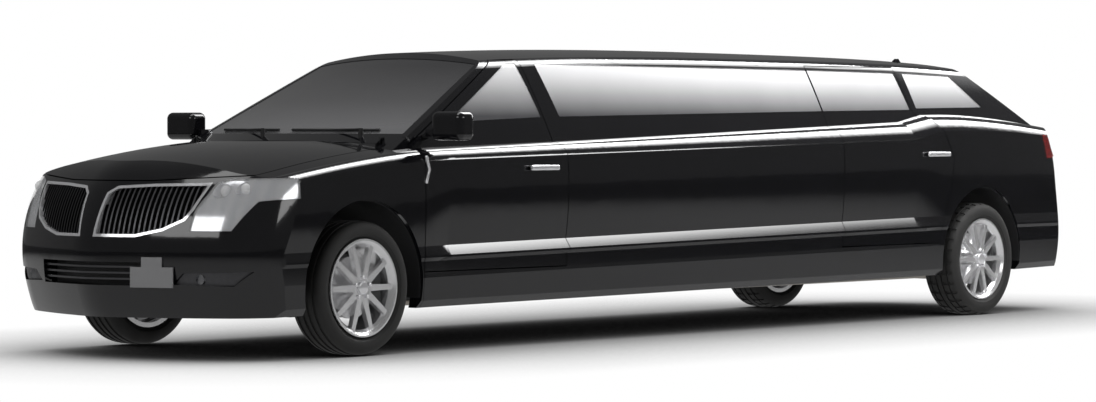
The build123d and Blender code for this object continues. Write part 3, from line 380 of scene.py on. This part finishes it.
def spun(profile, axle_y, steps):
    """A closed outline of (across, radius) points turned about the axle."""
    start_clear()
    bpy.ops.mesh.primitive_circle_add(vertices=len(profile), radius=0.1, fill_type="NOTHING")
    piece = bpy.context.object
    for vertex, (across, radius) in zip(piece.data.vertices, profile):
        vertex.co = (WHEEL_X + across, axle_y, WHEEL_Z + radius)
    bpy.ops.object.mode_set(mode="EDIT")
    bpy.ops.mesh.select_all(action="SELECT")
    bpy.ops.mesh.spin(steps=steps, angle=2 * math.pi, center=(0, axle_y, WHEEL_Z), axis=(1, 0, 0))
    bpy.ops.mesh.select_all(action="SELECT")
    bpy.ops.mesh.remove_doubles(threshold=1e-5)
    bpy.ops.mesh.normals_make_consistent(inside=False)
    bpy.ops.object.mode_set(mode="OBJECT")
    return piece


def cushion(centre, size, name, puff=0.12, turn=0.0):
    """A crowned leather pad with rounded edges, fixed to the body."""
    start_clear()
    bpy.ops.mesh.primitive_cube_add(size=1.0, location=(0, 0, 0))
    piece = bpy.context.object
    bpy.ops.object.mode_set(mode="EDIT")
    bpy.ops.mesh.subdivide(number_cuts=7)
    bpy.ops.object.mode_set(mode="OBJECT")
    for vertex in piece.data.vertices:
        x, y, z = vertex.co
        crown = (1 - (2 * x) ** 4) * (1 - (2 * y) ** 4) * (1 - (2 * z) ** 4)
        pull = 1 - puff * (1 - crown)
        across = 1 - puff * 0.35 * (2 * abs(y)) ** 3
        along = 1 - puff * 0.35 * (2 * abs(x)) ** 3
        vertex.co = (x * across, y * along, z * pull)
    piece.scale = size
    bpy.ops.object.transform_apply(location=False, rotation=False, scale=True)
    modify(piece, "BEVEL", width=min(size) * 0.16, segments=3, limit_method="ANGLE",
           angle_limit=math.radians(50))
    modify(piece, "SUBSURF", levels=1, render_levels=1)
    piece.rotation_euler = (turn, 0, 0)
    piece.location = centre
    settle(piece, name, "body", "leather", 60)
    return piece


# ---- settings ----
class LimousineSizes(bpy.types.PropertyGroup):
    tread_depth: FloatProperty(
        name="Tread depth", description="Depth of the cross grooves", default=0.006, unit="LENGTH")
    tyre_steps: IntProperty(
        name="Tyre steps", description="Segments round each tyre", default=96, min=24)
    handle_height: FloatProperty(
        name="Handle height", description="Height of the bright door handles", default=0.031,
        unit="LENGTH")
    floor_colour: FloatVectorProperty(
        name="Floor", description="Colour of the studio floor", default=(0.86, 0.86, 0.86),
        subtype="COLOR")


def sizes():
    return bpy.context.scene.limousine


# ---- pieces ----
class LIMO_OT_finishes(bpy.types.Operator):
    """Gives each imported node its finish"""
    bl_idname = "limousine.finishes"
    bl_label = "Node finishes"

    def execute(self, context):
        for name, node in NODES.items():
            node.data.materials.clear()
            node.data.materials.append(finish(finish_of(name)))
        return {"FINISHED"}


# across and radius of the tyre's outline in metres, left half from the bead to the middle of the tread
TYRE_HALF = [
    (-0.0950, 0.2506), (-0.0960, 0.2665), (-0.1100, 0.2755), (-0.1165, 0.2860), (-0.1205, 0.2865),
    (-0.1235, 0.3000), (-0.1245, 0.3150), (-0.1225, 0.3320), (-0.1165, 0.3470), (-0.1075, 0.3580),
    (-0.0950, 0.3645), (-0.0740, 0.3682), (-0.0725, 0.3610), (-0.0645, 0.3612), (-0.0630, 0.3690),
    (-0.0270, 0.3699), (-0.0255, 0.3622), (-0.0165, 0.3622), (-0.0150, 0.3699)]
TREAD_RADIUS = 0.355                                # the cross grooves lie outside it
SHOULDER_BAND, CENTRE_BAND = (0.078, 0.106), (0.03, 0.06)
STEPS_A_GROOVE = 3


def grooved(centre, axle_y, steps):
    """Whether a face of the tread is the floor of a cross groove."""
    reach = math.hypot(centre.y - axle_y, centre.z - WHEEL_Z)
    turn = math.atan2(centre.z - WHEEL_Z, centre.y - axle_y) / (2 * math.pi) * steps
    across = abs(centre.x - WHEEL_X)
    in_band = any(low < across < high for low, high in (SHOULDER_BAND, CENTRE_BAND))
    return reach > TREAD_RADIUS and in_band and int(turn // 1) % STEPS_A_GROOVE == 0


class LIMO_OT_tyres(bpy.types.Operator):
    """Tyres with round and cross grooves"""
    bl_idname = "limousine.tyres"
    bl_label = "Tyres"

    def execute(self, context):
        profile = TYRE_HALF + [(-a, r) for a, r in reversed(TYRE_HALF)]
        for end, axle_y in AXLES:
            tyre = spun(profile, axle_y, sizes().tyre_steps)
            for face in tyre.data.polygons:
                face.select = grooved(face.center, axle_y, sizes().tyre_steps)
            bpy.ops.object.mode_set(mode="EDIT")
            bpy.ops.mesh.select_mode(type="FACE")
            bpy.ops.mesh.inset(thickness=0.0008, depth=-sizes().tread_depth, use_individual=False)
            bpy.ops.object.mode_set(mode="OBJECT")
            left = settle(tyre, f"tyre_tread_{end}_left", f"wheel_{end}_left", "tyre", 32)
            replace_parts(left, f"tyre_{end}_left")
            right = copied(left, f"tyre_tread_{end}_right", f"wheel_{end}_right", flip=True)
            right["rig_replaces"] = []
            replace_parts(right, f"tyre_{end}_right")
        return {"FINISHED"}


CAP_RADIUS, CAP_DEPTH, CAP_X = 0.036, 0.012, 0.927
NUT_COUNT, NUT_RADIUS, NUT_DEPTH, NUT_X = 5, 0.0115, 0.022, 0.924
NUT_CIRCLE = 0.0572                                 # radius on which the nuts stand


class LIMO_OT_wheel_trim(bpy.types.Operator):
    """Centre cap and lug nuts of each wheel"""
    bl_idname = "limousine.wheel_trim"
    bl_label = "Wheel trim"

    def execute(self, context):
        for end, axle_y in AXLES:
            start_clear()
            bpy.ops.mesh.primitive_cylinder_add(
                vertices=48, radius=CAP_RADIUS, depth=CAP_DEPTH, location=(CAP_X, axle_y, WHEEL_Z),
                rotation=(0, QUARTER_TURN, 0))
            cap = bpy.context.object
            modify(cap, "BEVEL", width=0.004, segments=3, limit_method="ANGLE")
            cap = settle(cap, f"wheel_cap_{end}_left", f"wheel_{end}_left", "chrome")
            copied(cap, f"wheel_cap_{end}_right", f"wheel_{end}_right", flip=True)
            nuts = []
            for i in range(NUT_COUNT):
                a = 2 * math.pi * (i + 0.25) / NUT_COUNT
                place = (NUT_X, axle_y + NUT_CIRCLE * math.cos(a), WHEEL_Z + NUT_CIRCLE * math.sin(a))
                bpy.ops.mesh.primitive_cylinder_add(
                    vertices=6, radius=NUT_RADIUS, depth=NUT_DEPTH, location=place,
                    rotation=(0, QUARTER_TURN, 0))
                modify(bpy.context.object, "BEVEL", width=0.002, segments=2, limit_method="ANGLE")
                nuts.append(bpy.context.object)
            nut = settle(joined(nuts), f"lug_nuts_{end}_left", f"wheel_{end}_left", "chrome", 25)
            copied(nut, f"lug_nuts_{end}_right", f"wheel_{end}_right", flip=True)
        return {"FINISHED"}


HANDLES = (("front", -1.575, 1.008), ("rear", 2.425, 1.064))    # door, station and height
HANDLE_X, HANDLE_DEPTH, HANDLE_LENGTH = 0.975, 0.020, 0.246
MIRROR_CENTRE = (1.0325, -2.3725, 1.244)
MIRROR_GLASS = (0.172, 0.004, 0.104)                # width, thickness and height


class LIMO_OT_handles(bpy.types.Operator):
    """Bright door handles and mirror glasses"""
    bl_idname = "limousine.handles"
    bl_label = "Handles and mirror glasses"

    def execute(self, context):
        for end, y, z in HANDLES:
            size = (HANDLE_DEPTH, HANDLE_LENGTH, sizes().handle_height)
            bar = rounded_bar((HANDLE_X, y, z), size, 0.0075)
            bar = settle(bar, f"handle_{end}_left", f"door_{end}_left", "chrome")
            copied(bar, f"handle_{end}_right", f"door_{end}_right", flip=True)
        glass = rounded_bar(MIRROR_CENTRE, MIRROR_GLASS, 0.0018, 2)
        glass = settle(glass, "mirror_glass_left", "door_front_left", "mirror")
        copied(glass, "mirror_glass_right", "door_front_right", flip=True)
        return {"FINISHED"}


# sideways place, station and height of each foot's corners, from the door's skin out to the mirror's arm
FOOT_INNER = (
    (0.8103, -2.440, 1.176), (0.8103, -2.385, 1.176), (0.7952, -2.385, 1.212), (0.8027, -2.440, 1.194))
FOOT_OUTER = (
    (0.850, -2.453, 1.187), (0.850, -2.407, 1.187), (0.850, -2.407, 1.223), (0.850, -2.453, 1.223))


class LIMO_OT_mirror_feet(bpy.types.Operator):
    """Black feet that carry the mirror arms on the front doors"""
    bl_idname = "limousine.mirror_feet"
    bl_label = "Mirror feet"

    def execute(self, context):
        start_clear()
        bpy.ops.mesh.primitive_cube_add(size=1.0, location=(0, 0, 0))
        foot = bpy.context.object
        for vertex in foot.data.vertices:
            x, y, z = vertex.co
            ring = FOOT_OUTER if x > 0 else FOOT_INNER
            vertex.co = ring[(3 if y < 0 else 2) if z > 0 else (0 if y < 0 else 1)]
        modify(foot, "BEVEL", width=0.004, segments=3, limit_method="NONE")
        foot = settle(foot, "mirror_foot_left", "door_front_left", "plastic")
        copied(foot, "mirror_foot_right", "door_front_right", flip=True)
        return {"FINISHED"}


# station and height of the ends of each bright strip, behind the front wheel arch
VENT_STRIPS = (((-2.573, 1.075), (-2.549, 1.005)), ((-2.549, 1.005), (-2.573, 0.935)))
VENT_X, VENT_DEPTH, VENT_WIDTH, VENT_LAP = 0.9575, 0.010, 0.016, 0.012


class LIMO_OT_vents(bpy.types.Operator):
    """Bright arrow-shaped vent on each front door's leading edge"""
    bl_idname = "limousine.vents"
    bl_label = "Fender vents"

    def execute(self, context):
        strips = []
        for (y0, z0), (y1, z1) in VENT_STRIPS:
            length = math.hypot(y1 - y0, z1 - z0)
            strip = rounded_bar((0, 0, 0), (VENT_DEPTH, VENT_WIDTH, length + VENT_LAP), 0.003)
            strip.rotation_euler = (-math.atan2(y1 - y0, z1 - z0), 0, 0)
            strip.location = (VENT_X, (y0 + y1) / 2, (z0 + z1) / 2)
            strips.append(strip)
        vent = settle(joined(strips), "vent_trim_left", "door_front_left", "chrome")
        copied(vent, "vent_trim_right", "door_front_right", flip=True)
        return {"FINISHED"}


# centre and radius of the two projectors in the left headlamp
PROJECTORS = ((0.690, -3.858, 0.900, 0.034), (0.790, -3.814, 0.912, 0.030))


class LIMO_OT_lamps(bpy.types.Operator):
    """Half-round projectors inside the headlamps"""
    bl_idname = "limousine.lamps"
    bl_label = "Headlamp projectors"

    def execute(self, context):
        for i, (x, y, z, r) in enumerate(PROJECTORS):
            start_clear()
            bpy.ops.mesh.primitive_uv_sphere_add(segments=32, ring_count=16, radius=r, location=(x, y, z))
            bulb = bpy.context.object
            bpy.ops.object.mode_set(mode="EDIT")
            bpy.ops.mesh.select_all(action="SELECT")
            bpy.ops.mesh.bisect(plane_co=(x, y, z), plane_no=(0, 1, 0), clear_outer=True, use_fill=True)
            bpy.ops.object.mode_set(mode="OBJECT")
            bulb = settle(bulb, f"projector_{i}_left", "body", "bulb")
            copied(bulb, f"projector_{i}_right", "body", flip=True)
        return {"FINISHED"}


FRONT_SEAT_X = 0.400
# piece, station, height, size and lean of a front seat's pads
FRONT_SEAT = (
    ("base", -1.745, 0.535, (0.52, 0.50, 0.33), 0.0),
    ("back", -1.480, 0.945, (0.50, 0.145, 0.60), -0.13),
    ("head", -1.417, 1.318, (0.24, 0.082, 0.16), -0.08))
BENCH_STATIONS = (-0.55, 0.045, 0.64, 1.235)        # side bench, front to back
REAR_PADS, REAR_BACKS = (-0.545, 0.0, 0.545), (-0.46, 0.0, 0.46)


class LIMO_OT_seats(bpy.types.Operator):
    """Leather pads in place of the plain seats"""
    bl_idname = "limousine.seats"
    bl_label = "Seats"

    def execute(self, context):
        seats = []
        for side, s in SIDES:
            for part, y, z, size, turn in FRONT_SEAT:
                pad = cushion((s * FRONT_SEAT_X, y, z), size, f"front_seat_{part}_{side}", turn=turn)
                seats.append(pad)
        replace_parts(seats[0], "front_seats")
        lounge = []
        for i, y in enumerate(BENCH_STATIONS, 1):
            lounge.append(cushion((-0.565, y, 0.555), (0.53, 0.585, 0.365), f"lounge_bench_{i}"))
            cushion((-0.779, y, 0.88), (0.115, 0.585, 0.31), f"lounge_bench_back_{i}")
        for i, x in enumerate(REAR_PADS, 1):
            cushion((x, 2.075, 0.565), (0.54, 0.62, 0.385), f"rear_bench_{i}")
        for i, x in enumerate(REAR_BACKS, 1):
            cushion((x, 2.373, 1.00), (0.455, 0.11, 0.47), f"rear_bench_back_{i}", turn=-0.14)
        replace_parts(lounge[0], "lounge_seats")
        return {"FINISHED"}


FLOOR_SIZE = 160.0
PAINTED_SHADOW_REACH = 1.9                                   # how far a body darkens the floor beside it with a painted shadow
# distances from the middle over which the floor's brightness in reflections falls, and its two levels
GLEAM_NEAR, GLEAM_FAR, GLEAM_HIGH, GLEAM_LOW = 5.0, 13.0, 0.42, 0.04
WORLD_LEVEL = 0.12
# name, place, aim, size and watts of the soft lamps
SOFT_LAMPS = (
    ("overhead", (0.0, -0.5, 6.5), (0, -0.5, 0.0), (3.0, 12.0), 300.0),
    ("side_fill", (13.0, 2.0, 4.0), (0.9, 0.5, 1.0), (9.0, 2.5), 260.0),
    ("nose_fill", (0.5, -13.0, 4.5), (0.0, -4.0, 0.7), (7.0, 3.0), 210.0))
# name, place, size, radiance and whether it lights more than reflections
PANELS = (
    ("shoulder_panel", (1.25, 6.5, 4.4), (2.5, 15.0), 9.0, True),
    ("ledge_panel", (1.53, 1.9, 1.5), (0.34, 7.2), 11.0, False))
FADE_START, FADE_END = 0.35, 1.0                    # across a panel, from full light to none
CAMERA_PLACE, CAMERA_DIP, CAMERA_HEADING = (14.829, -18.249, 1.228), 0.0189, 0.6926
CAMERA_LENS, SENSOR_WIDTH = 125.4, 36.0


class LIMO_OT_stage(bpy.types.Operator):
    """Floor, soft lights and the camera"""
    bl_idname = "limousine.stage"
    bl_label = "Stage"

    def execute(self, context):
        self.floor()
        self.surroundings(context.scene)
        for lamp in SOFT_LAMPS:
            self.soft_lamp(*lamp)
        for panel in PANELS:
            self.light_panel(*panel)
        turned = (QUARTER_TURN - CAMERA_DIP, 0, CAMERA_HEADING)
        bpy.ops.object.camera_add(location=CAMERA_PLACE, rotation=turned)
        camera = context.object
        camera.data.sensor_width = SENSOR_WIDTH
        camera.data.lens = CAMERA_LENS
        camera.data.clip_end = 400.0
        context.scene.camera = camera
        context.scene.view_settings.view_transform = "Standard"
        return {"FINISHED"}

    @staticmethod
    def floor():
        """A pale floor, white to the camera but for a painted soft shadow beside the wheels and sills,
        drawn from ambient occlusion.
        """
        start_clear()
        bpy.ops.mesh.primitive_plane_add(size=FLOOR_SIZE, location=(0, 0, 0))
        floor = bpy.context.object
        floor.name = "floor"
        f = Finish("studio_floor")
        seen = f.node("ShaderNodeLightPath", {}, {}, "Is Camera Ray")
        mirrored = f.node("ShaderNodeLightPath", {}, {}, "Is Glossy Ray")
        away = f.node("ShaderNodeVectorMath", {"operation": "LENGTH"}, {0: f.place}, "Value")
        levels = {"Value": away, "From Min": GLEAM_NEAR, "From Max": GLEAM_FAR,
                  "To Min": GLEAM_HIGH, "To Max": GLEAM_LOW}
        near = f.node("ShaderNodeMapRange", {"interpolation_type": "SMOOTHSTEP"}, levels, "Result")
        # ambient occlusion darkens the floor's glow to the camera near the body: a painted shadow
        painted_shadow_occlusion = f.node("ShaderNodeAmbientOcclusion", {"samples": 12}, {"Distance": PAINTED_SHADOW_REACH}, "AO")
        shade = painted_shadow_occlusion * painted_shadow_occlusion
        bright = {"Color": rgb(1.0), "Strength": seen * shade + mirrored * near}
        glow = f.node("ShaderNodeEmission", {}, bright)
        f.set(Base_Color=rgb(*sizes().floor_colour), Roughness=0.9)
        plain = Value(f, f.shader.outputs[0])
        mixed = f.node("ShaderNodeMixShader", {}, {0: (seen + mirrored).clamped(), 1: plain, 2: glow})
        f.tree.links.new(mixed.socket, f.tree.nodes["Material Output"].inputs["Surface"])
        floor.data.materials.append(f.material)

    @staticmethod
    def surroundings(scene):
        """White to the camera and through glass, dim as a light."""
        world = bpy.data.worlds.new("studio")
        scene.world = world
        world.use_nodes = True
        tree = world.node_tree
        background = tree.nodes["Background"]
        background.inputs["Color"].default_value = rgb(1.0)
        path = tree.nodes.new("ShaderNodeLightPath")
        seen = tree.nodes.new("ShaderNodeMath")
        seen.operation = "MAXIMUM"
        tree.links.new(path.outputs["Is Camera Ray"], seen.inputs[0])
        tree.links.new(path.outputs["Is Transmission Ray"], seen.inputs[1])
        level = tree.nodes.new("ShaderNodeMapRange")
        level.inputs["To Min"].default_value = WORLD_LEVEL
        level.inputs["To Max"].default_value = 1.0
        tree.links.new(seen.outputs[0], level.inputs["Value"])
        tree.links.new(level.outputs["Result"], background.inputs["Strength"])

    @staticmethod
    def area_lamp(name, place, size, power):
        start_clear()
        bpy.ops.object.light_add(type="AREA", location=place)
        lamp = bpy.context.object
        lamp.name = name
        lamp.data.shape = "RECTANGLE"
        lamp.data.size, lamp.data.size_y = size
        lamp.data.energy = power
        return lamp

    @classmethod
    def soft_lamp(cls, name, place, aim, size, power):
        lamp = cls.area_lamp(name, place, size, power)
        look = Vector(aim) - Vector(place)
        if abs(look.x) + abs(look.y) > 1:
            lamp.rotation_euler = look.to_track_quat("-Z", "Y").to_euler()

    @classmethod
    def light_panel(cls, name, place, size, strength, lights_all):
        """A ceiling lamp of the given radiance that fades out towards the open side of the stage."""
        panel = cls.area_lamp(name, place, size, strength * math.pi * size[0] * size[1])
        panel.visible_camera = False
        panel.visible_diffuse = lights_all
        panel.data.use_nodes = True
        tree = panel.data.node_tree
        place_on_lamp = tree.nodes.new("ShaderNodeNewGeometry")
        across = tree.nodes.new("ShaderNodeSeparateXYZ")
        fade = tree.nodes.new("ShaderNodeMapRange")
        fade.interpolation_type = "SMOOTHSTEP"
        fades = (("From Min", FADE_START), ("From Max", FADE_END), ("To Min", 1.0), ("To Max", 0.0))
        for key, value in fades:
            fade.inputs[key].default_value = value
        tree.links.new(place_on_lamp.outputs["Parametric"], across.inputs[0])
        tree.links.new(across.outputs["X"], fade.inputs["Value"])
        tree.links.new(fade.outputs["Result"], tree.nodes["Emission"].inputs["Strength"])


class LIMO_PT_panel(bpy.types.Panel):
    """Sizes and pieces of the limousine"""
    bl_label = "Stretch limousine"
    bl_idname = "LIMO_PT_panel"
    bl_space_type = "VIEW_3D"
    bl_region_type = "UI"
    bl_category = "Limousine"

    def draw(self, context):
        for name in LimousineSizes.__annotations__:
            self.layout.prop(context.scene.limousine, name)
        for operator in PIECES:
            self.layout.operator(operator.bl_idname)


PIECES = (
    LIMO_OT_finishes, LIMO_OT_tyres, LIMO_OT_wheel_trim, LIMO_OT_handles, LIMO_OT_mirror_feet,
    LIMO_OT_vents, LIMO_OT_lamps, LIMO_OT_seats, LIMO_OT_stage)


def register():
    for cls in (LimousineSizes, *PIECES, LIMO_PT_panel):
        bpy.utils.register_class(cls)
    bpy.types.Scene.limousine = PointerProperty(type=LimousineSizes)


def unregister():
    del bpy.types.Scene.limousine
    for cls in reversed((LimousineSizes, *PIECES, LIMO_PT_panel)):
        bpy.utils.unregister_class(cls)


def main():
    register()
    for operator in PIECES:
        group, action = operator.bl_idname.split(".")
        getattr(getattr(bpy.ops, group), action)()


if __name__ == "__main__":
    main()
